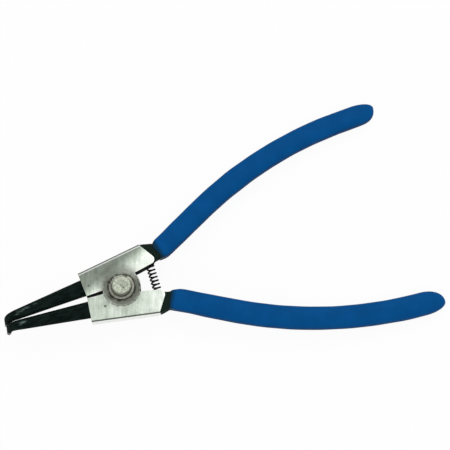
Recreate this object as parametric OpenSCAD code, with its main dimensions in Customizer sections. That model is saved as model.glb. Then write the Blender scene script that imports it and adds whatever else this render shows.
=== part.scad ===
// Bent circlip pliers for outside rings.
// Two levers that don't cross lie in one plane and turn on a riveted half-lap joint.
// Squeezing the handles spreads the tips, and a coil spring between the levers closes them again.
// Everything is laid out from the pivot axis and the parting plane of the laps: tips towards -X,
// handles towards +X, upper lever towards +Y. The finished pieces are then lowered so that the flat
// of the rivet head lies at Z 0. The tips are closed, and the joint turns the upper lever about Z.

/* [Joint] */
// Thickness of the joint over its two ground faces
head_t = 6.8; // [6.2:0.1:9]
// Radius of each lever's round half lap
disc_r = 8.1; // [7.2:0.1:9]
// Gap round a lap, in the recess of the other lever
disc_gap = 0.1; // [0.05:0.05:0.6]
// Gap between the two laps at the parting plane
lap_gap = 0.06; // [0.02:0.01:0.2]
// Depth of the dish turned into each lap for the rivet
dish_depth = 0.45; // [0.2:0.05:0.8]
// Flat rim left round the dish
dish_rim = 0.25; // [0.1:0.05:0.6]
// Bevel of the ground faces' outer edges
face_bevel = 0.5; // [0.2:0.05:0.7]

/* [Head outline] */
// Pivot to the front edge of the head
head_front = 16.05; // [14:0.1:19]
// Half width of the closed head at its front edge
head_front_w = 10.8; // [9.5:0.1:12.5]
// How far the front edge falls back at the slit
front_rake = 0.95; // [0:0.05:1.5]
// Gap between the two levers at the front of the slit
slit_gap = 0.9; // [0.3:0.05:1.4]
// Slope of the slit's edges, in degrees
slit_slope = 2.8; // [1:0.1:6]
// Pivot to the outer rear corner of the head
head_rear = 12.1; // [11.5:0.1:14]
// Half width of the closed head at its rear corner
head_rear_w = 15.5; // [14:0.1:18]
// Pivot to the inner rear corner, at the end of the spring flank
flank_end = 18; // [17.4:0.1:19]
// Height of the inner rear corner over the centre line
flank_end_y = 6.55; // [5.6:0.05:7.4]
// Slope of the spring flank, in degrees
flank_slope = 12; // [10:0.1:18]
// Rounding of the inner rear corner
flank_corner_r = 2; // [1:0.1:3]

/* [Jaws] */
// Pivot to the start of the bend
jaw_len = 45; // [38:0.2:56]
// Step down from the ground face to the jaw and the neck
face_step = 0.65; // [0.55:0.05:1]
// Half gap between the jaws at the head
jaw_gap_root = 1.4; // [1.1:0.1:2]
// Jaw width at the head
jaw_w_root = 6.9; // [6:0.1:8]
// Half gap between the jaws at the bend
jaw_gap_tip = 0.17; // [0.1:0.01:1.2]
// Jaw width at the bend
jaw_w_tip = 4.2; // [3.6:0.1:5]
// Jaw thickness at the bend
jaw_t_tip = 4.2; // [3.4:0.1:5]
// Radius of the bend, at the middle of the jaw
bend_r = 4.3; // [3.2:0.1:7]
// Angle by which the tips turn down, in degrees
bend_angle = 79; // [60:1:90]
// Tip width after the bend
leg_w = 3.3; // [2.6:0.1:3.8]
// Tip thickness after the bend
leg_t = 2.8; // [2.4:0.1:3.6]
// Straight tip between the bend and the pin
leg_len = 6.4; // [3:0.1:9]
// Half gap between the closed tips
tip_gap = 0.15; // [0.1:0.05:0.8]
// Diameter of the tip where the pin starts
shoulder_d = 2.1; // [2:0.1:3]
// Diameter of the pin that goes into the ring's hole
pin_d = 1.8; // [1.2:0.1:1.9]
// Length of the pin
pin_len = 3.8; // [2:0.1:4.5]
// Chamfer of the pin's end
pin_chamfer = 0.4; // [0.1:0.05:0.5]

/* [Handles] */
// Handle line's start behind the head, along the pliers
handle_x = 17; // [16.5:0.1:20]
// Handle line's start, over the centre line
handle_y = 9.6; // [8.8:0.1:11]
// Slope of the handle where it leaves the head, in degrees
handle_slope = 28.3; // [22:0.1:32]
// Straight stretch behind the head
handle_straight = 28.7; // [20:0.1:40]
// Radius of the handle's bow
bow_r = 181.6; // [140:1:260]
// Slope of the handle at its end, in degrees
end_slope = 3.9; // [0:0.1:12]
// Straight stretch at the end
end_straight = 15.4; // [12:0.1:24]
// Bare neck between the head and the grip
neck_len = 2.8; // [1.8:0.1:4]
// Width of the neck where the grip starts
neck_w = 7.3; // [6.4:0.1:7.6]
// Rise of the neck's outer edge, level with the grip
neck_rise = 0.3; // [0.1:0.05:0.8]
// How far the neck's inner edge is drawn in
neck_waist = 0.45; // [0.1:0.05:0.7]
// Width of the steel tang inside the grip
tang_w = 7.6; // [7:0.1:9]
// Distance of the tang's end from the grip's end
tang_short = 11; // [10:0.5:16]

/* [Grips] */
// Wall of the dipped grip
grip_wall = 0.96; // [0.7:0.02:1.5]
// Gap between the grip and the tang
grip_clear = 0.04; // [0.02:0.01:0.1]
// Wall of the grip at its mouth
mouth_wall = 0.8; // [0.5:0.05:0.95]
// Length over which the grip swells behind its mouth
mouth_swell = 5; // [3:0.5:12]
// Length of the grip's rounded end
cap_len = 9; // [6:0.5:10]

/* [Rivet] */
// Diameter of the rivet's shank
rivet_d = 6; // [5:0.1:7]
// Radial running clearance of the shank in the levers
rivet_clear = 0.04; // [0.02:0.01:0.1]
// Play under the heads and the washer
rivet_play = 0.04; // [0.02:0.01:0.1]
// Diameter of the closed head on the washer
button_d = 8.4; // [7.6:0.1:9]
// Height of the closed head
button_h = 0.95; // [0.6:0.05:1.4]
// Rounding of the closed head's edge
button_round = 0.4; // [0.2:0.05:0.55]
// Radius of the punch mark in the closed head
mark_r = 0.7; // [0.3:0.05:1]
// Depth of the punch mark
mark_depth = 0.35; // [0.1:0.05:0.5]
// Outer diameter of the washer
washer_d = 10.8; // [10:0.1:11.6]
// Thickness of the washer
washer_t = 0.9; // [0.6:0.05:1.2]
// Diameter of the set head at the back
set_head_d = 10.4; // [9:0.1:11]
// Height of the set head
set_head_h = 1.5; // [1:0.05:2]

/* [Spring] */
// Pivot to the spring's axis
spring_x = 14.2; // [13.6:0.05:14.6]
// Outer diameter of the spring
spring_d = 3.8; // [3.4:0.1:4.4]
// Wire diameter
wire_d = 0.7; // [0.5:0.05:0.8]
// Turns of the spring
spring_turns = 10.5; // [8:0.5:11]
// Where on the coil the wire starts, in degrees
wire_start = 215; // [0:5:355]
// Depth of the spring pockets in the flanks
pocket_depth = 2.5; // [1.5:0.1:3]
// Gap round and behind the spring in its pockets
pocket_clear = 0.2; // [0.1:0.05:0.4]

/* [Hidden] */

$fn = 64;
over = 1;

bare_steel = [0.78, 0.79, 0.76];
black_steel = [0.07, 0.09, 0.08];
vinyl_blue = [0.03, 0.28, 0.52];

// Heights over the parting plane
face_z = head_t / 2;
black_t = head_t - 2 * face_step;
dish_z = face_z - dish_depth;
washer_z = dish_z + rivet_play;
button_z = washer_z + washer_t + rivet_play;
rivet_face_z = button_z + button_h;

// Corners of the upper lever's head
slit_front = [front_rake - head_front, slit_gap / 2];
front_outer = [-head_front, head_front_w];
rear_outer = [head_rear, head_rear_w];
flank_rear = [flank_end, flank_end_y];
// The slit and the flank both run on under the lap, to half its radius
slit_inner = [-disc_r / 2, slit_y(-disc_r / 2)];
flank_inner = [disc_r / 2, flank_y(disc_r / 2)];

// Lengths along the handle line
bow_len = bow_r * (handle_slope - end_slope) * PI / 180;
grip_end = handle_straight + bow_len + end_straight;
tang_end = grip_end - tang_short;
mouth = neck_len + grip_clear;

// Spring seats
spring_r = (spring_d - wire_d) / 2;
pocket_y = flank_y(spring_x) + pocket_depth;
spring_half = pocket_y - pocket_clear - wire_d / 2;

function slit_y(x) = slit_front.y + (x - slit_front.x) * tan(slit_slope);
function flank_y(x) = flank_rear.y + (x - flank_rear.x) * tan(flank_slope);
function mix(a, b, t) = a + (b - a) * t;
function clamp01(t) = min(1, max(0, t));
function ease(t) = clamp01(t) * clamp01(t) * (3 - 2 * clamp01(t));
function side(a) = [-sin(a), cos(a)];

// A rounded corner: the arc of radius r that touches both edges at b
function round_corner(a, b, c, r, steps = 8) =
  let (
    u = (a - b) / norm(a - b),
    v = (c - b) / norm(c - b),
    half = acos(u * v) / 2,
    m = b + (u + v) / norm(u + v) * r / sin(half),
    from = b + u * r / tan(half) - m,
    to = b + v * r / tan(half) - m,
    a0 = atan2(from.y, from.x),
    turn = (atan2(to.y, to.x) - a0 + 540) % 360 - 180
  )
  [for (i = [0 : steps]) m + r * [cos(a0 + turn * i / steps), sin(a0 + turn * i / steps)]];

// A closed outline between an ellipse (power 2) and a box (high power)
function outline(w, h, power, sides) =
  [for (i = [0 : sides - 1])
    let (c = cos(360 * i / sides), s = sin(360 * i / sides))
    [sign(c) * pow(abs(c), 2 / power) * w / 2, sign(s) * pow(abs(s), 2 / power) * h / 2]];

// Skin over a row of rings that all have the same number of points
module loft(rings) {
  n = len(rings[0]);
  last = (len(rings) - 1) * n;
  points = [for (ring = rings) each ring];
  walls = [for (k = [0 : len(rings) - 2], i = [0 : n - 1])
    let (a = k * n + i, b = k * n + (i + 1) % n)
    each [[a, b + n, b], [a, a + n, b + n]]];
  first_cap = [for (i = [0 : n - 1]) i];
  last_cap = [for (i = [n - 1 : -1 : 0]) last + i];
  polyhedron(points, concat(walls, [first_cap, last_cap]), convexity = 6);
}

// The handle line: slope and point at a length s from its start
function line_slope(s) =
  mix(handle_slope, end_slope, clamp01((s - handle_straight) / bow_len));
function line_point(s) =
  let (
    start = [handle_x, handle_y],
    bow_start = start + handle_straight * [cos(handle_slope), sin(handle_slope)],
    on_bow = bow_start + bow_r * (side(line_slope(s)) - side(handle_slope)),
    past = max(0, s - handle_straight - bow_len)
  )
  s < handle_straight
    ? start + s * [cos(handle_slope), sin(handle_slope)]
    : on_bow + past * [cos(end_slope), sin(end_slope)];

// One cross-section of the handle, square to its line
function handle_ring(s, w, t, power, sides) =
  let (p = line_point(s), across = side(line_slope(s)))
  [for (q = outline(w, t, power, sides)) [p.x + across.x * q.x, p.y + across.y * q.x, q.y]];

// Evenly spaced values
function stations(from, to, steps) = [for (i = [0 : steps]) mix(from, to, i / steps)];

// The tang: nearly square in section, a little slimmer than the neck, drawn in over its last stretch
tang_power = 5;
tang_sides = 16;
tang_taper = 0.45;
tang_tip = 6;
tang_step = 0.1;
tang_sink = 0.4;
tang_t = black_t - 2 * tang_step;

function tang_swell(s) = mix(neck_w - 2 * tang_step, tang_w, ease((s - neck_len) / mouth_swell));
function tang_scale(s) = 1 - tang_taper * pow(clamp01((s - tang_end + tang_tip) / tang_tip), 2);

// The tang and the hollow for it in the grip share their stations, so that the gap stays even
tang_stations = concat(
  stations(neck_len, neck_len + mouth_swell, 4),
  stations(handle_straight, tang_end - tang_tip, 14),
  [tang_end - tang_tip / 2]
);

module tang(extra, from, to) {
  loft([for (s = concat([from], tang_stations, [to]))
    let (k = tang_scale(s))
    handle_ring(s, tang_swell(s) * k + 2 * extra, tang_t * k + 2 * extra, tang_power, tang_sides)]);
}

// The head of the upper lever: a ground plate with half a lap, bored, dished and pocketed
flank_corner = round_corner(rear_outer, flank_rear, flank_inner, flank_corner_r);

module head_outline() {
  polygon(concat([slit_front, front_outer, rear_outer], flank_corner, [flank_inner, slit_inner]));
}

module bevel(p, q, z) {
  run = q - p;
  cut = face_bevel * sqrt(2);
  translate([p.x, p.y, z])
    rotate([0, 0, atan2(run.y, run.x)])
      rotate([45, 0, 0])
        translate([-over, -cut / 2, -cut / 2])
          cube([norm(run) + 2 * over, cut, cut]);
}

// The black neck behind the plate, with a low shoulder on its outer edge.
// Its inner edge starts just inside the plate's rounded corner and bows in on its way to the grip.
shoulder_share = 0.35;
shoulder_rise = 0.1;
neck_corner_step = 5;
neck_inset = 0.03;
neck_root = mix(flank_corner[neck_corner_step], rear_outer, neck_inset);

function neck_edge(from, to) =
  let (pull = mix(from, to, 0.5) + side(handle_slope) * 2 * neck_waist)
  [for (t = stations(0, 1, 6)) mix(mix(from, pull, t), mix(pull, to, t), t)];

module neck() {
  along = [cos(handle_slope), sin(handle_slope)];
  mouth_mid = [handle_x, handle_y] + neck_len * along;
  mouth_outer = mouth_mid + side(handle_slope) * (neck_w / 2 + neck_rise);
  mouth_inner = mouth_mid - side(handle_slope) * neck_w / 2;
  shoulder = mix(rear_outer, mouth_outer, shoulder_share) + [0, shoulder_rise];
  translate([0, 0, -black_t / 2])
    linear_extrude(black_t)
      polygon(concat(
        [
          [spring_x, flank_y(spring_x) + over],
          [head_rear - over, head_rear_w - 2 * over],
          rear_outer,
          shoulder,
          mouth_outer
        ],
        neck_edge(mouth_inner, neck_root)
      ));
}

module lever_head() {
  difference() {
    union() {
      translate([0, 0, -face_z])
        linear_extrude(head_t) head_outline();
      neck();
      translate([0, 0, lap_gap / 2])
        cylinder(h = face_z - lap_gap / 2, r = disc_r);
    }
    translate([0, 0, -face_z - over])
      cylinder(h = face_z + over + lap_gap / 2, r = disc_r + disc_gap);
    translate([0, 0, -face_z - over])
      cylinder(h = head_t + 2 * over, d = rivet_d + 2 * rivet_clear);
    translate([0, 0, dish_z])
      cylinder(h = dish_depth, r1 = washer_d / 2 + dish_rim, r2 = disc_r - dish_rim);
    for (z = [-face_z, face_z]) {
      bevel(front_outer, rear_outer, z);
      bevel(rear_outer, flank_rear, z);
      bevel(slit_front, front_outer, z);
    }
    translate([spring_x, pocket_y, 0])
      rotate([90, 0, 0])
        cylinder(h = pocket_y, d = spring_d + 2 * pocket_clear);
  }
}

// The upper jaw: a tapered bar that bends down near its end and carries a turned pin.
// Its outer face follows the bend while the inner face draws in towards the slimmer tip.
jaw_sides = 24;
jaw_sink = 2.5;
root_power = 4;
bend_power = 3;
leg_power = 2.5;
outer_share = 0.6;
jaw_mid_root = jaw_gap_root + jaw_w_root / 2;
jaw_mid_tip = jaw_gap_tip + jaw_w_tip / 2;
pin_y = tip_gap + leg_w / 2;

function down(a) = [-cos(a), 0, -sin(a)];
function outward(a) = [-sin(a), 0, cos(a)];
function on_bend(a, y, t) =
  [-jaw_len, y, -bend_r] + outward(a) * (bend_r + outer_share * (jaw_t_tip - leg_t) / 2 * t);
function jaw_ring(p, a, w, t, power) =
  [for (q = outline(w, t, power, jaw_sides)) p - [0, q.x, 0] + outward(a) * q.y];

leg_start = on_bend(bend_angle, pin_y, 1);
leg_end = leg_start + down(bend_angle) * leg_len;

module jaw() {
  bar = [for (t = stations(-jaw_sink / (jaw_len - head_front), 1, 6))
    jaw_ring([mix(-head_front, -jaw_len, t), mix(jaw_mid_root, jaw_mid_tip, t), 0], 0,
      mix(jaw_w_root, jaw_w_tip, t), mix(black_t, jaw_t_tip, t), mix(root_power, bend_power, t))];
  bend = [for (t = stations(1 / 6, 1, 5))
    jaw_ring(on_bend(bend_angle * t, mix(jaw_mid_tip, pin_y, t), t), bend_angle * t,
      mix(jaw_w_tip, leg_w, t), mix(jaw_t_tip, leg_t, t), mix(bend_power, leg_power, t))];
  leg = [for (t = stations(1 / 3, 1, 2))
    jaw_ring(mix(leg_start, leg_end, t), bend_angle,
      mix(leg_w, shoulder_d, t), mix(leg_t, shoulder_d, t), mix(leg_power, 2, t))];
  loft(concat(bar, bend, leg));
  translate(leg_end)
    rotate([0, -90 - bend_angle, 0]) {
      translate([0, 0, -over])
        cylinder(h = pin_len - pin_chamfer + over, d = pin_d);
      translate([0, 0, pin_len - pin_chamfer])
        cylinder(h = pin_chamfer, r1 = pin_d / 2, r2 = pin_d / 2 - pin_chamfer);
    }
}

// A dipped grip: a blind sleeve over the tang, thin at its mouth and round at its end
grip_power = 2.8;
grip_sides = 24;
cap_power = 2.2;
cap_stations = [0.3, 0.5, 0.66, 0.8, 0.9, 0.96, 0.995];

function grip_swell(s) = mix(mouth_wall, grip_wall, ease((s - mouth) / mouth_swell)) + grip_clear;
function grip_cap(s) = pow(1 - pow(clamp01((s - grip_end + cap_len) / cap_len), cap_power), 1 / cap_power);

module grip() {
  cap_start = grip_end - cap_len;
  difference() {
    loft([for (s = concat(
        stations(mouth, mouth + mouth_swell, 5),
        stations(handle_straight, cap_start, 16),
        [for (t = cap_stations) cap_start + cap_len * t]))
      let (k = grip_cap(s), wall = grip_swell(s))
      handle_ring(s, (tang_swell(s) + 2 * wall) * k, (tang_t + 2 * wall) * k, grip_power, grip_sides)]);
    tang(grip_clear, mouth - over, tang_end + grip_clear);
  }
}

// The spring's wire: a helix along Y whose last turn at each end lies close
wire_sides = 8;
wire_steps = 14;
close_pitch = 1.05 * wire_d;

function helix_y(t) =
  let (open_pitch = (2 * spring_half - 2 * close_pitch) / (spring_turns - 2))
  t < 1 ? close_pitch * t
    : t > spring_turns - 1 ? 2 * spring_half - close_pitch * (spring_turns - t)
    : close_pitch + open_pitch * (t - 1);
function wire_ring(t) =
  let (a = wire_start - 360 * t, out = [cos(a), 0, sin(a)], y = helix_y(t) - spring_half)
  [for (i = [0 : wire_sides - 1])
    let (b = 360 * i / wire_sides)
    [spring_x, y, 0] + out * (spring_r + cos(b) * wire_d / 2) - [0, sin(b) * wire_d / 2, 0]];

module in_frame() {
  translate([0, 0, -rivet_face_z]) children();
}

module upper_lever() {
  in_frame() {
    color(bare_steel) lever_head();
    color(black_steel) {
      jaw();
      tang(0, neck_len - tang_sink, tang_end);
    }
  }
}

module lower_lever() {
  in_frame() {
    color(bare_steel) rotate([180, 0, 0]) lever_head();
    color(black_steel) {
      mirror([0, 1, 0]) jaw();
      rotate([180, 0, 0]) tang(0, neck_len - tang_sink, tang_end);
    }
  }
}

module pivot_rivet() {
  set_z = -dish_z - rivet_play;
  set_r = set_head_d / 2;
  bottom = set_z - set_head_h;
  in_frame()
    color(bare_steel)
      rotate_extrude()
        polygon(concat(
          [[0, bottom], [set_r - set_head_h / 2, bottom], [set_r, bottom + set_head_h / 2]],
          [[set_r, set_z], [rivet_d / 2, set_z], [rivet_d / 2, button_z], [button_d / 2, button_z]],
          [for (a = [0 : 15 : 90])
            [button_d / 2 - button_round * (1 - cos(a)), rivet_face_z - button_round * (1 - sin(a))]],
          [[mark_r, rivet_face_z], [0, rivet_face_z - mark_depth]]
        ));
}

module rivet_washer() {
  round_r = washer_t / 3;
  in_frame()
    color(bare_steel)
      translate([0, 0, washer_z])
        rotate_extrude()
          polygon(concat(
            [[rivet_d / 2 + rivet_clear, 0], [washer_d / 2, 0]],
            [for (a = [0 : 30 : 90])
              [washer_d / 2 - round_r * (1 - cos(a)), washer_t - round_r * (1 - sin(a))]],
            [[rivet_d / 2 + rivet_clear, washer_t]]
          ));
}

module return_spring() {
  in_frame()
    color(black_steel)
      loft([for (i = [0 : spring_turns * wire_steps]) wire_ring(i / wire_steps)]);
}

module upper_grip() {
  in_frame() color(vinyl_blue) grip();
}

module lower_grip() {
  in_frame() color(vinyl_blue) rotate([180, 0, 0]) grip();
}

upper_lever();
lower_lever();
pivot_rivet();
rivet_washer();
return_spring();
upper_grip();
lower_grip();
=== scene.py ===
# Looks of the bent circlip pliers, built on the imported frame. Lengths on the part are in millimetres in the
# CAD's frame and go to Blender in metres.
import math

import bpy
import numpy as np
from mathutils import Matrix, Vector


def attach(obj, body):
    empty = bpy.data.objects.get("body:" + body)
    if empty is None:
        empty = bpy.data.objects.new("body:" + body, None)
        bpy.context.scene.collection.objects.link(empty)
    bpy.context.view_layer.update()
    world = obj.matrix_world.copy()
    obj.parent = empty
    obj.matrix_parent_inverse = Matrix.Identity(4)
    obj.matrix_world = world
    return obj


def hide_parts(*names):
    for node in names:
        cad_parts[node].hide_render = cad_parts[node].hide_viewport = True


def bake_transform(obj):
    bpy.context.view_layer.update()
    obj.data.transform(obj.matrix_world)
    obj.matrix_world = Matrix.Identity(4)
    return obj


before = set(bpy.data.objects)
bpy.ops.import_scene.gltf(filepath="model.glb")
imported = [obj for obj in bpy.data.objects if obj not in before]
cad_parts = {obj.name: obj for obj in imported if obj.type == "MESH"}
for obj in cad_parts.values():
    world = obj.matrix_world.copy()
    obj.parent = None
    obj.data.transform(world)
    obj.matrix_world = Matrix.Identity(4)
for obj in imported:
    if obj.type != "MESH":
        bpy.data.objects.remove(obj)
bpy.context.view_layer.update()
scene = bpy.context.scene
scene.view_settings.view_transform = "Standard"

MM = 0.001

# Sizes that the looks repeat from the part's source: the parting plane, half the thickness of the black
# forging, the turned seat, the head's front and outer edge, and the bent legs' end and direction
MID_Z = -4.88
BLACK_Z = 2.75
DISC_R = 8.1
HEAD_FRONT = (-17.0, -16.6)
EDGE_DIR_X, EDGE_DIR_Y = -0.16468, 0.98634
EDGE_WALL, EDGE_UNDER = (13.10, 13.18), (12.72, 12.84)
LEG_END_X, LEG_END_Z = -50.85, -9.68
LEG_DIR_X, LEG_DIR_Z = -0.19081, -0.98163

# The handle line of the part's source, and the neck, tang and grip along it
HANDLE_START = np.array((17.0, 9.6))
HANDLE_SLOPE, END_SLOPE = math.radians(28.3), math.radians(3.9)
STRAIGHT, BOW_R, END_STRAIGHT = 28.7, 181.6, 15.4
BOW_LEN = BOW_R * (HANDLE_SLOPE - END_SLOPE)
GRIP_END = STRAIGHT + BOW_LEN + END_STRAIGHT
NECK_LEN, NECK_W, TANG_W, TANG_STEP, SWELL = 2.8, 7.3, 7.6, 0.1, 5.0
NECK_INNER, NECK_ROOT, NECK_FLARE = 2.75, 0.5, 0.39
TANG_T = 2 * BLACK_Z - 2 * TANG_STEP
GRIP_WALL, MOUTH_WALL, MOUTH_HALF = 1.0, 0.7, 4.4
GRIP_POWER, MOUTH_POWER = 2.8, 7.0
CLEAR = 0.04

# Camera at the photograph's viewing angle, fitted to the outlines
VIEW_DIR, VIEW_ROLL = (0.1333781, 0.2341894, -0.9629982), math.radians(18.3984)
VIEW_FROM = (-7.447, -88.237, 419.384 + MID_Z)


def add_camera():
    look = Vector(VIEW_DIR).normalized()
    level = look.cross(Vector((0, 1, 0))).normalized()
    rise = level.cross(look)
    right = math.cos(VIEW_ROLL) * level - math.sin(VIEW_ROLL) * rise
    up = math.sin(VIEW_ROLL) * level + math.cos(VIEW_ROLL) * rise
    place = Vector(VIEW_FROM) * MM
    data = bpy.data.cameras.new("camera")
    data.lens = 80
    data.sensor_width = 36
    data.clip_start = 0.01
    data.clip_end = 50
    camera = bpy.data.objects.new("camera", data)
    rows = [[right[i], up[i], -look[i], place[i]] for i in range(3)]
    camera.matrix_world = Matrix(rows + [[0, 0, 0, 1]])
    scene.collection.objects.link(camera)
    scene.camera = camera


# Shorthands for shader nodes
class Graph:
    def __init__(self, name):
        self.mat = bpy.data.materials.new(name)
        self.mat.use_nodes = True
        self.tree = self.mat.node_tree
        self.tree.nodes.clear()
        self.out = self.tree.nodes.new("ShaderNodeOutputMaterial")

    def put(self, socket, value):
        if isinstance(value, bpy.types.NodeSocket):
            self.tree.links.new(value, socket)
        elif socket.type == "RGBA" and len(value) == 3:
            socket.default_value = (*value, 1)
        else:
            socket.default_value = value

    def node(self, kind, settings=None, **inputs):
        n = self.tree.nodes.new("ShaderNode" + kind)
        for key, value in (settings or {}).items():
            setattr(n, key, value)
        for key, value in inputs.items():
            self.put(n.inputs[key.replace("_", " ")], value)
        return n

    def math(self, op, a, b=0.0, c=0.0):
        n = self.tree.nodes.new("ShaderNodeMath")
        n.operation = op
        for i, value in enumerate((a, b, c)):
            self.put(n.inputs[i], value)
        return n.outputs[0]

    # Two values, each times its own number, added up
    def weigh(self, a, times_a, b, times_b):
        return self.math("ADD", self.math("MULTIPLY", a, times_a), self.math("MULTIPLY", b, times_b))

    def length(self, a, b):
        return self.math("SQRT", self.math("ADD", self.math("MULTIPLY", a, a), self.math("MULTIPLY", b, b)))

    # A value that a noise moves up and down
    def stir(self, value, noise, amount):
        return self.math("MULTIPLY_ADD", self.math("SUBTRACT", noise, 0.5), amount, value)

    def step(self, value, low, high, a=0.0, b=1.0):
        n = self.node("MapRange", {"interpolation_type": "SMOOTHSTEP"}, Value=value,
                      From_Min=low, From_Max=high, To_Min=a, To_Max=b)
        return n.outputs[0]

    def mix(self, share, a, b):
        n = self.tree.nodes.new("ShaderNodeMix")
        n.data_type = "RGBA"
        self.put(n.inputs[0], share)
        self.put(n.inputs[6], a)
        self.put(n.inputs[7], b)
        return n.outputs[2]

    def blend(self, share, a, b):
        n = self.tree.nodes.new("ShaderNodeMix")
        self.put(n.inputs[0], share)
        self.put(n.inputs[2], a)
        self.put(n.inputs[3], b)
        return n.outputs[0]

    # Place on the piece in millimetres, in the CAD's frame at rest
    def place(self):
        coord = self.node("TexCoord").outputs["Object"]
        scaled = self.node("VectorMath", {"operation": "SCALE"}, Vector=coord, Scale=1 / MM)
        xyz = self.node("SeparateXYZ", Vector=scaled.outputs[0])
        return scaled.outputs[0], xyz.outputs[0], xyz.outputs[1], xyz.outputs[2]

    # Coordinates for streaks that run at an angle to the x axis
    def streaks(self, vector, angle, ratio):
        n = self.node("Mapping", {"vector_type": "TEXTURE"}, Vector=vector,
                      Rotation=(0, 0, math.radians(angle)), Scale=(ratio, 1, 1))
        return n.outputs[0]

    def noise(self, vector, scale, detail=3.0, rough=0.55):
        return self.node("TexNoise", Vector=vector, Scale=scale, Detail=detail, Roughness=rough).outputs[0]

    def bump(self, height, distance, strength=1.0, normal=None):
        n = self.node("Bump", Height=height, Distance=distance, Strength=strength)
        if normal is not None:
            self.put(n.inputs["Normal"], normal)
        return n.outputs[0]

    # Normals that round off the sharp edges
    def rounding(self, radius):
        return self.node("Bevel", {"samples": 6}, Radius=radius).outputs[0]

    def surface(self, **inputs):
        n = self.node("BsdfPrincipled", **inputs)
        self.tree.links.new(n.outputs[0], self.out.inputs[0])
        return self.mat


# Distance from a place on the piece, with the y part weighted
def near(g, x, y, place, weight=1.0):
    dx = g.math("SUBTRACT", x, place[0])
    dy = g.math("MULTIPLY", g.math("SUBTRACT", y, place[1]), weight)
    return g.length(dx, dy)


# Distance from a short line on the piece
def near_line(g, x, y, start, end):
    run_x, run_y = end[0] - start[0], end[1] - start[1]
    dx = g.math("SUBTRACT", x, start[0])
    dy = g.math("SUBTRACT", y, start[1])
    share = g.math("DIVIDE", g.weigh(dx, run_x, dy, run_y), run_x ** 2 + run_y ** 2)
    share = g.math("MINIMUM", g.math("MAXIMUM", share, 0.0), 1.0)
    return g.length(g.math("SUBTRACT", dx, g.math("MULTIPLY", share, run_x)),
                    g.math("SUBTRACT", dy, g.math("MULTIPLY", share, run_y)))


# Round spots laid over a value. Each has a place, a radius and a share that fades from a core to the radius.
def blots(g, x, y, value, spots, core, weight=1.0):
    for cx, cy, r, share in spots:
        value = g.math("MAXIMUM", value, g.step(near(g, x, y, (cx, cy), weight), r * core, r, share, 0.0))
    return value


# How far a place lies towards the upper lever and, a little, towards the handles
def uphill(g, x, y):
    return g.weigh(x, 0.28, y, 0.96)


# How the levers differ. "slant", "ramp" and "tones" paint light and shade over the ground faces, "front"
# paints a highlight on their inner front corner and "seat_shade" paints shade on them round the seat. "shine"
# and "edge_shade" are bands of painted highlight and painted shade along the outer edge: where they start and
# are full, and their shares before and after. "pits" are spots, and "bend_highlights" are spots of painted
# highlight.
LEVERS = {
    "upper": {"side": 1.0, "slant": 2.4, "ramp": (-4.4, 13.2), "tones": (0.20, 0.74), "front": 0.02,
              "seat_shade": 0.42, "shine": (12.22, 12.38, 0.0, 0.45), "edge_shade": (12.78, 12.88, 0.0, 0.90),
              "pits": ((-13.2, 4.5, 0.5, 0.9),),
              "bend_highlights": ((-43.0, 3.0, 2.7, 1.0), (-40.4, 3.4, 1.9, 0.6), (-36.6, 4.0, 1.5, 0.3),
                       (-44.8, 1.9, 1.2, 0.6))},
    "lower": {"side": -1.0, "slant": 0.0, "ramp": (5.0, 16.0), "tones": (0.52, 0.70), "front": 0.0,
              "seat_shade": 0.15, "shine": (12.15, 12.35, 0.0, 0.0), "edge_shade": (12.60, 12.72, 0.0, 0.92),
              "pits": ((-8.9, -5.9, 0.65, 0.9),),
              "bend_highlights": ((-43.4, -2.1, 2.2, 1.0), (-44.6, -2.9, 1.2, 0.6))},
}
# The line of the plates that the slant leaves as it is, and the painted shade in the seat with its colour
PLATE_MID_Y = 9.0
GAP_SHADE_SPOTS = ((-4.4, 3.4, 1.4, 0.85), (-5.0, -2.6, 2.4, 0.85), (-2.6, -5.0, 1.6, 0.85), (4.4, 3.4, 1.3, 0.85))
SHADE_COLOUR = (0.022, 0.022, 0.016)


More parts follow.
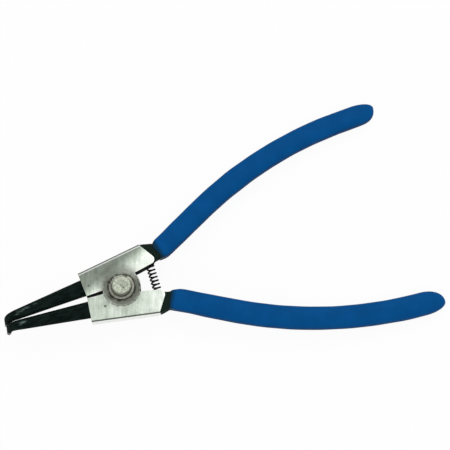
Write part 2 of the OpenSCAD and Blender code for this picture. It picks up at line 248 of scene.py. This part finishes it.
# Forged lever: black phosphate, with the head's faces and outer edges ground bright
def lever_steel(name, look):
    g = Graph(name)
    p, x, y, z = g.place()
    ay = g.math("MULTIPLY", y, look["side"])
    height = g.math("SUBTRACT", z, MID_Z)
    level = g.math("ABSOLUTE", height)
    radius = near(g, x, y, (0.0, 0.0))
    geometry = g.node("NewGeometry")
    lean = g.math("ABSOLUTE", g.node("SeparateXYZ", Vector=geometry.outputs["True Normal"]).outputs[2])

    # Where the wheel has been: the faces of the head, and the wall along its outer edge
    head = g.step(x, *HEAD_FRONT)
    faces = g.math("MULTIPLY", g.step(level, BLACK_Z + 0.05, BLACK_Z + 0.12), g.step(lean, 0.3, 0.5))
    outer = g.weigh(x, EDGE_DIR_X, ay, EDGE_DIR_Y)
    wall = g.math("MULTIPLY", g.step(outer, *EDGE_WALL), g.step(lean, 0.3, 0.5, 1.0, 0.0))
    ground = g.math("MULTIPLY", g.math("MAXIMUM", faces, wall), head)

    # Painted light and shade on the faces: lighter towards the handle and the inner rear corner, with a
    # painted highlight on the inner front corner
    reach = g.math("SUBTRACT", x, g.math("MULTIPLY", g.math("SUBTRACT", ay, PLATE_MID_Y), look["slant"]))
    tone = g.step(reach, *look["ramp"], *look["tones"])
    corner_highlight = g.math("MULTIPLY", g.step(ay, 3.0, 8.0, 1.0, 0.0), g.step(x, -11.5, -7.0, 1.0, 0.0))
    tone = g.math("ADD", tone, g.math("MULTIPLY", corner_highlight, look["front"]))

    # Grinding marks run across the lever, over faint clouds
    grain = g.streaks(p, 73.0, 14.0)
    fine = g.noise(grain, 3.4, 4.0)
    broad = g.noise(grain, 0.75, 3.0)
    cloud = g.noise(p, 0.22, 4.0, 0.6)
    grit = g.noise(p, 2.3, 3.0, 0.6)
    uneven = 1.0
    for noise, amount in ((cloud, 0.75), (broad, 0.60), (fine, 0.50), (grit, 0.60)):
        uneven = g.stir(uneven, noise, amount)
    tone = g.math("MULTIPLY", tone, uneven)
    tint = g.mix(g.step(tone, 0.40, 0.75), (0.93, 1.06, 0.90), (0.98, 1.04, 0.95))
    bright = g.mix(tone, (0.0, 0.0, 0.0), tint)

    # Bevel along the outer edge: a painted highlight on one lever, and a painted shade on both. The wall
    # below it is ground lengthwise.
    upside = g.step(height, -0.5, 0.5)
    shine = g.math("MULTIPLY", g.step(outer, *look["shine"]), upside)
    bright = g.mix(shine, bright, (0.86, 0.89, 0.84))
    edge_shade = g.math("MULTIPLY", g.step(outer, *look["edge_shade"]), upside)
    bright = g.mix(edge_shade, bright, (0.045, 0.05, 0.045))
    under = g.math("MULTIPLY", g.step(outer, *EDGE_UNDER), g.math("SUBTRACT", 1.0, upside))
    marks = g.noise(g.streaks(p, 9.5, 14.0), 3.4, 4.0)
    wall_tone = g.mix(g.step(marks, 0.30, 0.66), (0.76, 0.79, 0.74), (0.98, 1.0, 0.96))
    bright = g.mix(g.math("MAXIMUM", wall, under), bright, wall_tone)

    # Painted shade on the faces round the turned seat, fading out over the plate. The seat's own turned steel
    # is duller, with painted shade that is heavier on its lower side, round the washer and along its right
    # edge.
    seat_shade = g.step(g.stir(radius, cloud, 2.5), DISC_R + 0.2, DISC_R + 3.6, look["seat_shade"], 0.0)
    seat_shade = g.math("MULTIPLY", seat_shade, g.step(x, 4.0, 10.5, 1.0, 0.0))
    bright = g.mix(g.math("MULTIPLY", seat_shade, faces), bright, (0.10, 0.105, 0.085))
    rings = g.noise(g.node("CombineXYZ", X=radius).outputs[0], 2.6, 3.0)
    seat = g.step(g.stir(radius, g.noise(p, 0.7, 3.0), 2.4), DISC_R - 0.9, DISC_R + 1.0, 0.95, 0.0)
    seat = g.math("MULTIPLY", seat, g.step(uphill(g, x, y), 2.0, 6.5, 1.0, 0.45))
    seat_colour = g.mix(g.weigh(grit, 0.6, rings, 0.4), (0.020, 0.022, 0.016), (0.235, 0.250, 0.200))
    # Painted shade along the seat's right edge and in the gap round the washer
    painted_shade = g.math("MULTIPLY", g.step(x, 5.4, 7.2), g.step(radius, 7.0, 7.5))
    patchy = g.step(g.noise(p, 0.42, 2.0), 0.42, 0.58, 0.1, 0.9)
    painted_shade = g.math("MAXIMUM", painted_shade, g.math("MULTIPLY", g.step(radius, 5.7, 6.5, 1.0, 0.0), patchy))
    painted_shade = blots(g, x, y, painted_shade, GAP_SHADE_SPOTS, 0.2)
    seat_colour = g.mix(painted_shade, seat_colour, SHADE_COLOUR)
    bright = g.mix(g.math("MULTIPLY", painted_shade, g.step(radius, 6.0, 6.6, 0.8, 0.0)), bright, SHADE_COLOUR)
    bright = g.mix(seat, bright, seat_colour)

    # Small pits left by the forging
    pores = g.node("TexVoronoi", Vector=p, Scale=0.42)
    chance = g.step(g.node("SeparateColor", Color=pores.outputs["Color"]).outputs[0], 0.80, 0.82)
    pits = g.math("MULTIPLY", g.step(pores.outputs["Distance"], 0.05, 0.10, 0.7, 0.0), chance)
    pits = blots(g, x, y, pits, look["pits"], 0.4)
    pits = g.math("MULTIPLY", pits, g.step(radius, DISC_R, DISC_R + 0.3))
    bright = g.mix(pits, bright, (0.035, 0.038, 0.03))

    # Black skin, thinner on the edges, with painted highlights where the jaws bend
    rounding = g.rounding(0.3 * MM)
    edge = g.node("VectorMath", {"operation": "DOT_PRODUCT"})
    g.put(edge.inputs[0], rounding)
    g.put(edge.inputs[1], geometry.outputs["Normal"])
    worn = g.step(edge.outputs["Value"], 0.90, 0.995, 1.0, 0.0)
    patch = g.noise(p, 0.9, 4.0, 0.65)
    worn = g.math("MULTIPLY", worn, g.step(patch, 0.42, 0.66))
    drawn = g.noise(g.streaks(p, 0.0, 4.0), 0.9, 4.0, 0.6)
    bend_highlight = g.math("MULTIPLY", blots(g, x, y, 0.0, look["bend_highlights"], 0.1, 3.0), g.step(drawn, 0.26, 0.54))
    bend_highlight = g.math("MULTIPLY", bend_highlight, g.step(height, 0.5, 1.6))
    skin = g.mix(g.step(drawn, 0.35, 0.70), (0.0008, 0.0034, 0.0026), (0.0060, 0.0140, 0.0118))
    skin = g.mix(g.step(x, 11.0, 14.0, 0.0, 0.75), skin, (0.0100, 0.0200, 0.0140))
    skin = g.mix(g.math("MULTIPLY", worn, 0.20), skin, (0.06, 0.068, 0.062))
    skin = g.mix(bend_highlight, skin, (0.105, 0.150, 0.140))

    # The pins are bare at their ends
    down = g.weigh(g.math("SUBTRACT", x, LEG_END_X), LEG_DIR_X,
                   g.math("SUBTRACT", height, LEG_END_Z), LEG_DIR_Z)
    bare = g.step(g.math("MULTIPLY_ADD", patch, 1.5, down), -3.0, 3.2)
    bare = g.math("MULTIPLY", bare, g.step(x, -44.0, -46.0))
    skin = g.mix(bare, skin, (0.27, 0.27, 0.26))

    metal = g.math("MAXIMUM", ground, bare)
    rough_ground = g.blend(seat, g.math("MULTIPLY_ADD", broad, 0.22, 0.30), 0.55)
    rough_skin = g.math("ADD", g.math("MULTIPLY_ADD", patch, 0.22, 0.42), g.step(lean, 0.2, 0.7, 0.3, 0.0))
    dents = g.weigh(g.noise(p, 7.0, 2.0), 0.4, g.noise(p, 1.4, 4.0), 0.6)
    relief = g.blend(ground, dents, g.math("SUBTRACT", fine, g.math("MULTIPLY", pits, 2.0)))
    normal = g.bump(relief, g.blend(ground, 0.12 * MM, 0.02 * MM), 0.5, rounding)
    return g.surface(Base_Color=g.mix(ground, skin, bright), Metallic=metal, Specular_IOR_Level=0.035,
                     Roughness=g.blend(ground, rough_skin, rough_ground), Normal=normal)


# The punch that set the rivet slipped and left a crooked mark. The painted shade on the rivet's head is
# centred off the axis so that it falls on the lower side, and painted shade sits on the upper rim of the
# washer.
PUNCH = ((-0.32, 0.52), (0.56, -0.87), (2.65, 0.02))
SHADE_MID = (0.22, 0.77)
RIM_SHADE_SPOTS = ((-4.3, 3.2, 0.9, 0.9), (-3.5, 4.1, 1.0, 0.9), (-2.5, 4.8, 0.9, 0.9),
            (2.4, 4.6, 1.0, 0.9), (3.3, 4.0, 1.1, 0.9))


# What the rivet and its washer share: bare steel with an uneven gloss
def bare_steel(g, colour, blot, relief, depth):
    normal = g.bump(relief, depth, 0.6, g.rounding(0.15 * MM))
    return g.surface(Base_Color=colour, Metallic=1.0, Roughness=g.math("MULTIPLY_ADD", blot, 0.28, 0.34),
                     Normal=normal)


# Peened head of the rivet, with painted shade towards its edge, widest on the lower side
def rivet_steel(name):
    g = Graph(name)
    p, x, y, z = g.place()
    blot = g.noise(p, 0.85, 4.0, 0.62)
    speck = g.noise(p, 3.2, 3.0)
    tone = g.weigh(speck, 0.45, blot, 0.65)
    colour = g.mix(g.step(tone, 0.34, 0.74), (0.17, 0.183, 0.145), (0.56, 0.600, 0.490))
    # Painted shade round the edge of the head, widest on its lower side
    edge = g.stir(near(g, x, y, SHADE_MID), blot, 3.0)
    colour = g.mix(g.step(edge, 3.60, 4.25, 0.0, 0.82), colour, (0.055, 0.058, 0.044))
    mark = g.step(near(g, x, y, PUNCH[1]), 0.15, 0.55, 0.85, 0.0)
    for start, end in zip(PUNCH, PUNCH[1:]):
        mark = g.math("MAXIMUM", mark, g.step(near_line(g, x, y, start, end), 0.05, 0.28, 0.55, 0.0))
    colour = g.mix(mark, colour, (0.04, 0.042, 0.032))
    return bare_steel(g, colour, blot, g.math("MULTIPLY_ADD", speck, 0.5, blot), 0.12 * MM)


# Turned washer, with painted light on its upper side, and painted shade round the rivet's head on the lower
# side, on the upper rim and in the corner to the seat
def washer_steel(name):
    g = Graph(name)
    p, x, y, z = g.place()
    radius = near(g, x, y, (0.0, 0.0))
    rise = uphill(g, x, y)
    blot = g.noise(p, 0.85, 4.0, 0.62)
    turned = g.noise(g.node("CombineXYZ", X=radius, Z=z).outputs[0], 3.0, 3.0)
    tone = g.weigh(blot, 0.5, turned, 0.6)
    colour = g.mix(g.step(tone, 0.30, 0.80), (0.10, 0.102, 0.084), (0.35, 0.360, 0.300))
    # Painted light on the upper side
    colour = g.mix(g.step(rise, 1.5, 4.2, 0.0, 0.40), colour, (0.44, 0.47, 0.385))
    # Painted shade on the lower side round the rivet's head, on the upper rim and in the corner to the seat
    edge = g.stir(rise, blot, 1.6)
    inner = g.math("MULTIPLY", g.step(radius, 4.25, 4.6, 1.0, 0.0), g.step(edge, 2.5, -2.0, 0.0, 0.85))
    rim = g.math("MULTIPLY", g.step(radius, 4.7, 5.1), g.step(edge, 3.9, 4.6, 0.0, 0.85))
    painted_shade = g.math("MAXIMUM", g.math("MAXIMUM", inner, rim), g.step(z, -1.85, -1.45, 0.8, 0.0))
    painted_shade = blots(g, x, y, painted_shade, RIM_SHADE_SPOTS, 0.3)
    colour = g.mix(painted_shade, colour, (0.03, 0.03, 0.024))
    return bare_steel(g, colour, blot, g.math("MULTIPLY_ADD", blot, 0.4, turned), 0.04 * MM)


# Oil-blackened spring wire
def spring_wire(name):
    g = Graph(name)
    drawn = g.noise(g.place()[0], 2.2, 3.0)
    colour = g.mix(drawn, (0.003, 0.003, 0.003), (0.014, 0.014, 0.013))
    rough = g.math("MULTIPLY_ADD", drawn, 0.2, 0.34)
    return g.surface(Base_Color=colour, Roughness=rough, Specular_IOR_Level=0.08,
                     Normal=g.bump(drawn, 0.03 * MM, 0.5))


# Dipped vinyl: smooth, with the faint ripple of a coat that has run and set. It has painted shade on its
# flanks, and is darker where it is thin at the mouth.
def dipped_vinyl(name, look):
    g = Graph(name)
    p, x, y, z = g.place()
    run = g.noise(p, 0.11, 4.0, 0.6)
    peel = g.noise(p, 1.1, 3.0)
    speck = g.noise(p, 6.0, 2.0)
    up = g.math("ABSOLUTE", g.node("SeparateXYZ", Vector=g.node("NewGeometry").outputs["Normal"]).outputs[2])
    colour = g.mix(g.step(run, 0.30, 0.72), (0.0003, 0.065, 0.222), (0.0006, 0.077, 0.260))
    colour = g.mix(g.step(speck, 0.62, 0.80, 0.0, 0.08), colour, (0.01, 0.11, 0.29))
    # Painted shade on the flanks
    colour = g.mix(g.step(up, 0.10, 0.65, 0.55, 0.0), colour, (0.0004, 0.016, 0.060))

    # Place along the handle's first straight, at the slant of the mouth
    dx = g.math("SUBTRACT", x, float(HANDLE_START[0]))
    dy = g.math("SUBTRACT", g.math("MULTIPLY", y, look["side"]), float(HANDLE_START[1]))
    c, d = math.cos(HANDLE_SLOPE), math.sin(HANDLE_SLOPE)
    across = g.weigh(dy, c, dx, -d)
    along = g.math("MULTIPLY_ADD", across, -look["slant"] / MOUTH_HALF, g.weigh(dx, c, dy, d))
    dark, clear = (look["mouth"] + length for length in look["fade"])
    thin = g.step(g.stir(along, peel, 0.8), dark, clear, 0.85, 0.0)
    colour = g.mix(thin, colour, (0.004, 0.022, 0.026))
    rough = g.math("MULTIPLY_ADD", peel, 0.14, 0.44)
    return g.surface(Base_Color=colour, Roughness=rough, Specular_IOR_Level=0.035,
                     Normal=g.bump(g.weigh(speck, 0.12, peel, 0.7), 0.09 * MM, 0.45))


def ease(t):
    t = min(1.0, max(0.0, t))
    return t * t * (3 - 2 * t)


def heading(slope):
    return np.array((math.cos(slope), math.sin(slope)))


def outward(slope):
    return np.array((-math.sin(slope), math.cos(slope)))


# Point at a length along the upper handle's line, and the direction outwards there
def handle_line(s):
    share = min(1.0, max(0.0, (s - STRAIGHT) / BOW_LEN))
    slope = HANDLE_SLOPE + (END_SLOPE - HANDLE_SLOPE) * share
    point = HANDLE_START + min(s, STRAIGHT) * heading(HANDLE_SLOPE)
    point = point + BOW_R * (outward(slope) - outward(HANDLE_SLOPE))
    point = point + max(0.0, s - STRAIGHT - BOW_LEN) * heading(END_SLOPE)
    return point, outward(slope)


# Half widths of the steel inside a grip: outwards, inwards and up. The neck's inner edge flares out to the
# tang.
def steel(s):
    tang = NECK_W / 2 - TANG_STEP + ((TANG_W - NECK_W) / 2 + TANG_STEP) * ease((s - NECK_LEN) / SWELL)
    neck = max(NECK_INNER, NECK_INNER + NECK_FLARE * (s - NECK_ROOT))
    return tang, min(tang, neck), TANG_T / 2


# How the grips differ. A grip starts at "mouth" along the handle line, with its edge set back by "slant" on
# the outer side, and "phase" sets its ripples. "thin" is the share of the coat that is missing at the mouth,
# or added where it is below zero, and the length over which that ends. "fade" is where the dark edge is full
# and gone. The end goes "past" the line, is rounded over "cap" with two "powers", and has a "lean" outwards
# and a "tilt". "coat" is added all along, and "runs" are places where more or less has set: the place, its
# spread and what it adds. "thin", "powers", "coat" and what a run adds are given for the outer side and then
# for the inner one.
GRIPS = {
    "upper": {"side": 1.0, "mouth": 1.9, "slant": 1.0, "phase": 0.4,
              "thin": ((0.4, 1.5), (0.9, 4.0)), "fade": (0.7, 2.9),
              "past": 0.32, "cap": 9.7, "powers": (1.82, 3.14), "lean": 0.36, "tilt": 0.31,
              "coat": (0.09, 0.08),
              "runs": ((9.0, 5.0, -0.22, -0.12), (50.0, 6.0, 0.18, 0.17), (105.0, 12.0, -0.19, 0.04))},
    "lower": {"side": -1.0, "mouth": 1.6, "slant": 0.3, "phase": 2.1,
              "thin": ((-0.45, 4.0), (0.9, 4.0)), "fade": (0.0, 2.4),
              "past": -0.16, "cap": 10.06, "powers": (2.35, 2.18), "lean": 0.0, "tilt": 0.19,
              "coat": (0.10, 0.18),
              "runs": ((9.5, 5.0, -0.25, 0.06), (41.0, 8.0, 0.08, 0.09), (105.0, 8.0, 0.30, 0.06))},
}
GRIP_SIDES, LIP_RINGS, FRONT_RINGS, BODY_RINGS, CAP_RINGS = 72, 8, 20, 60, 22
# The front rings stand close together, up to where the body's start, and the mouth's slant fades over them
FRONT_STEP, BODY_START, SLANT_FADE = 0.6, 12.5, 6
# The inside is drawn a little way in, where it has half the slant
INSIDE_LEN, INSIDE_POWER, INSIDE_SLANT = 3.0, 5.0, 0.5
# Two waves each on the mouth's uneven edge and in the coat
EDGE_WAVES, COAT_WAVES = (0.10, 0.06), (0.035, 0.02)


def grip_rings(look):
    mouth, slant, side, phase = (look[key] for key in ("mouth", "slant", "side", "phase"))
    angles = [2 * math.pi * i / GRIP_SIDES for i in range(GRIP_SIDES)]
    thin_out, thin_in = look["thin"]
    end = GRIP_END + look["past"]
    cap = end - look["cap"]

    # What the coat adds to its even wall, outwards and inwards
    def extra(s):
        added = np.array(look["coat"])
        for place, spread, *run in look["runs"]:
            added = added + math.exp(-((s - place) / spread) ** 2) * np.array(run)
        return added * ease((s - mouth) / SWELL)

    # A closed ring round the steel, lifted off it. The mouth's uneven edge shifts it along by a share.
    def ring(s, lift, power, shift):
        over = max(0.0, (s - cap) / look["cap"])
        k, k_inner = ((1 - over ** p) ** (1 / p) for p in look["powers"])
        more_out, more_in = extra(s)
        points = []
        for a in angles:
            c, d = math.cos(a), math.sin(a)
            uneven = EDGE_WAVES[0] * math.sin(a + phase) + EDGE_WAVES[1] * math.sin(3 * a + 2 * phase)
            at = s + shift * (slant * c + uneven)
            point, across = handle_line(at)
            out, inn, up = (half + lift for half in steel(at))
            out -= (lift - CLEAR) * thin_out[0] * (1 - ease((at - mouth - slant) / thin_out[1]))
            inn -= (lift - CLEAR) * thin_in[0] * (1 - ease((at - mouth + slant) / thin_in[1]))
            wide = (out + more_out) * k if c > 0 else (inn + more_in) * k_inner
            u = math.copysign(abs(c) ** (2 / power), c) * wide + look["lean"] * over ** 2
            v = math.copysign(abs(d) ** (2 / power), d) * up * (k + k_inner) / 2
            slip = look["tilt"] * over ** 2 * u
            x = point[0] + across[0] * u + across[1] * slip
            y = point[1] + across[1] * u - across[0] * slip
            points.append((x * MM, side * y * MM, (v + MID_Z) * MM))
        return points

    # Inside, then round the lip
    half_lip = MOUTH_WALL / 2
    rings = [ring(mouth + INSIDE_LEN, CLEAR, INSIDE_POWER, INSIDE_SLANT),
             ring(mouth + half_lip, CLEAR, MOUTH_POWER, 1.0)]
    for i in range(1, LIP_RINGS + 1):
        a = math.pi * (i / LIP_RINGS - 0.5)
        rings.append(ring(mouth + half_lip * (1 - math.cos(a)), CLEAR + half_lip * (1 + math.sin(a)),
                          MOUTH_POWER, 1.0))

    # Along the outside, with a faint ripple in the coat, and over the rounded end
    stations = [mouth + FRONT_STEP * i for i in range(2, FRONT_RINGS)]
    stations += list(np.linspace(mouth + BODY_START, cap, BODY_RINGS))
    stations += [cap + look["cap"] * math.sin(math.pi / 2 * i / CAP_RINGS) for i in range(1, CAP_RINGS)]
    for s in stations:
        grown = ease((s - mouth) / SWELL)
        ripple = COAT_WAVES[0] * math.sin(0.21 * s + phase) + COAT_WAVES[1] * math.sin(0.53 * s + 2 * phase)
        wall = MOUTH_WALL + (GRIP_WALL - MOUTH_WALL + ripple) * grown
        power = MOUTH_POWER + (GRIP_POWER - MOUTH_POWER) * grown
        rings.append(ring(s, wall, power, max(0.0, 1 - (s - mouth) / SLANT_FADE)))
    point, across = handle_line(end)
    tip = point + look["lean"] * (across + look["tilt"] * np.array((across[1], -across[0])))
    return rings, (tip[0] * MM, side * tip[1] * MM, MID_Z * MM)


# Mesh through closed rings of points, which ends in a tip, or else has flat ends
def skin_mesh(name, rings, tip=None, flip=False):
    n = len(rings[0])
    verts = [v for ring in rings for v in ring]
    faces = []
    for k in range(len(rings) - 1):
        for i in range(n):
            j = (i + 1) % n
            faces.append((k * n + i, k * n + j, (k + 1) * n + j, (k + 1) * n + i))
    last = (len(rings) - 1) * n
    if tip is not None:
        verts.append(tip)
        faces += [(last + i, last + (i + 1) % n, len(verts) - 1) for i in range(n)]
    else:
        faces.append(tuple(range(n - 1, -1, -1)))
        faces.append(tuple(last + i for i in range(n)))
    if flip:
        faces = [tuple(reversed(f)) for f in faces]
    mesh = bpy.data.meshes.new(name)
    mesh.from_pydata(verts, [], faces)
    mesh.polygons.foreach_set("use_smooth", [True] * len(mesh.polygons))
    mesh.update()
    piece = bpy.data.objects.new(name, mesh)
    scene.collection.objects.link(piece)
    return piece


def add_grip(body, look, material):
    rings, tip = grip_rings(look)
    piece = skin_mesh(body + "_vinyl", rings, tip, flip=look["side"] < 0)
    piece.data.materials.append(material)
    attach(piece, body)
    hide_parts(body + "_grip")


# Return spring: a round wire with close end turns. The levers carry it from a little past its two ends.
SPRING_X, SPRING_R, WIRE_R, TURNS, SPRING_HALF = 14.2, 1.55, 0.38, 10.5, 7.69
WIRE_START = math.radians(215)
END_PITCH = 2.1 * WIRE_R
TURN_STEPS, WIRE_SIDES = 40, 12


def add_spring(material):
    pitch = (2 * SPRING_HALF - 2 * END_PITCH) / (TURNS - 2)

    def rise(t):
        if t < 1:
            return END_PITCH * t
        if t > TURNS - 1:
            return 2 * SPRING_HALF - END_PITCH * (TURNS - t)
        return END_PITCH + pitch * (t - 1)

    axis = np.array((0.0, 1.0, 0.0))
    rings = []
    for i in range(int(TURNS * TURN_STEPS) + 1):
        t = i / TURN_STEPS
        a = WIRE_START - 2 * math.pi * t
        out = np.array((math.cos(a), 0.0, math.sin(a)))
        centre = np.array((SPRING_X, rise(t) - SPRING_HALF, MID_Z)) + out * SPRING_R
        rings.append([tuple((centre + WIRE_R * (math.cos(b) * out - math.sin(b) * axis)) * MM)
                      for b in (2 * math.pi * k / WIRE_SIDES for k in range(WIRE_SIDES))])
    piece = skin_mesh("coil_spring", rings)
    piece.data.materials.append(material)
    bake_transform(piece)
    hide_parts("return_spring")


# CAD nodes that stay: smooth shading across the facets, with the sharp edges kept
def dress(node, material, sharp=math.radians(32)):
    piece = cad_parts[node]
    mesh = piece.data
    if "custom_normal" in mesh.attributes:
        mesh.attributes.remove(mesh.attributes["custom_normal"])
    mesh.polygons.foreach_set("use_smooth", [True] * len(mesh.polygons))
    mesh.materials.clear()
    mesh.materials.append(material)
    weld = piece.modifiers.new("weld", "WELD")
    weld.merge_threshold = 0.002 * MM
    split = piece.modifiers.new("edges", "EDGE_SPLIT")
    split.split_angle = sharp
    split.use_edge_sharp = False


# White floor, tilted so that the pin ends and the grips lie on it, and the studio round it. It shows almost
# white to the camera and in reflections, and keeps a share of shadow.
PIN_END_X, PIN_END_Z, FLOOR_TILT = -51.6, -18.40, 0.0560
FLOOR_WHITE, SKY_LIGHT = 0.94, 0.78
# The floor's reach in metres, and the lamps: place, aim and size in metres, and power in watts
FLOOR_REACH = 4.0
LAMPS = (("key", (0.32, 0.42, 0.75), (0.03, 0, 0), 0.5, 1.6),
         ("fill", (-0.5, -0.3, 0.6), (0.02, 0, 0), 0.6, 0.5))


def add_floor():
    g = Graph("floor_white")
    path = g.node("LightPath")
    seen = g.math("MAXIMUM", path.outputs["Is Camera Ray"],
                  g.math("MAXIMUM", path.outputs["Is Glossy Ray"], path.outputs["Is Transmission Ray"]))
    both = g.node("MixShader")
    g.put(both.inputs[0], g.math("MULTIPLY", seen, FLOOR_WHITE))
    g.put(both.inputs[1], g.node("BsdfDiffuse", Color=(0.9, 0.9, 0.9)).outputs[0])
    g.put(both.inputs[2], g.node("Emission", Color=(1, 1, 1), Strength=1.0).outputs[0])
    g.tree.links.new(both.outputs[0], g.out.inputs[0])
    mesh = bpy.data.meshes.new("floor")
    height = (PIN_END_Z - PIN_END_X * FLOOR_TILT) * MM
    corners = [(sx * FLOOR_REACH, sy * FLOOR_REACH, height + sx * FLOOR_REACH * FLOOR_TILT)
               for sx, sy in ((-1, -1), (1, -1), (1, 1), (-1, 1))]
    mesh.from_pydata(corners, [], [(0, 1, 2, 3)])
    floor = bpy.data.objects.new("floor", mesh)
    scene.collection.objects.link(floor)
    mesh.materials.append(g.mat)


def add_world():
    world = bpy.data.worlds.new("studio")
    world.use_nodes = True
    scene.world = world
    tree = world.node_tree
    tree.nodes.clear()
    out = tree.nodes.new("ShaderNodeOutputWorld")
    path = tree.nodes.new("ShaderNodeLightPath")
    either = tree.nodes.new("ShaderNodeMath")
    either.operation = "MAXIMUM"
    tree.links.new(path.outputs["Is Camera Ray"], either.inputs[0])
    tree.links.new(path.outputs["Is Glossy Ray"], either.inputs[1])
    pick = tree.nodes.new("ShaderNodeMixShader")
    tree.links.new(either.outputs[0], pick.inputs[0])
    for slot, strength in ((1, SKY_LIGHT), (2, 1.0)):
        light = tree.nodes.new("ShaderNodeBackground")
        light.inputs[0].default_value = (1, 1, 1, 1)
        light.inputs[1].default_value = strength
        tree.links.new(light.outputs[0], pick.inputs[slot])
    tree.links.new(pick.outputs[0], out.inputs[0])


def add_lamp(name, place, aim, size, power):
    data = bpy.data.lights.new(name, "AREA")
    data.shape = "DISK"
    data.size = size
    data.energy = power
    lamp = bpy.data.objects.new(name, data)
    lamp.location = place
    lamp.rotation_euler = (Vector(aim) - Vector(place)).to_track_quat("-Z", "Y").to_euler()
    scene.collection.objects.link(lamp)


add_camera()
add_floor()
add_world()
for lamp in LAMPS:
    add_lamp(*lamp)

for body, look in LEVERS.items():
    dress(body + "_lever", lever_steel(body + "_lever_steel", look))
dress("pivot_rivet", rivet_steel("rivet_button"))
dress("rivet_washer", washer_steel("washer_steel"))
for body, look in GRIPS.items():
    add_grip(body, look, dipped_vinyl(body + "_vinyl_blue", look))
add_spring(spring_wire("spring_black"))
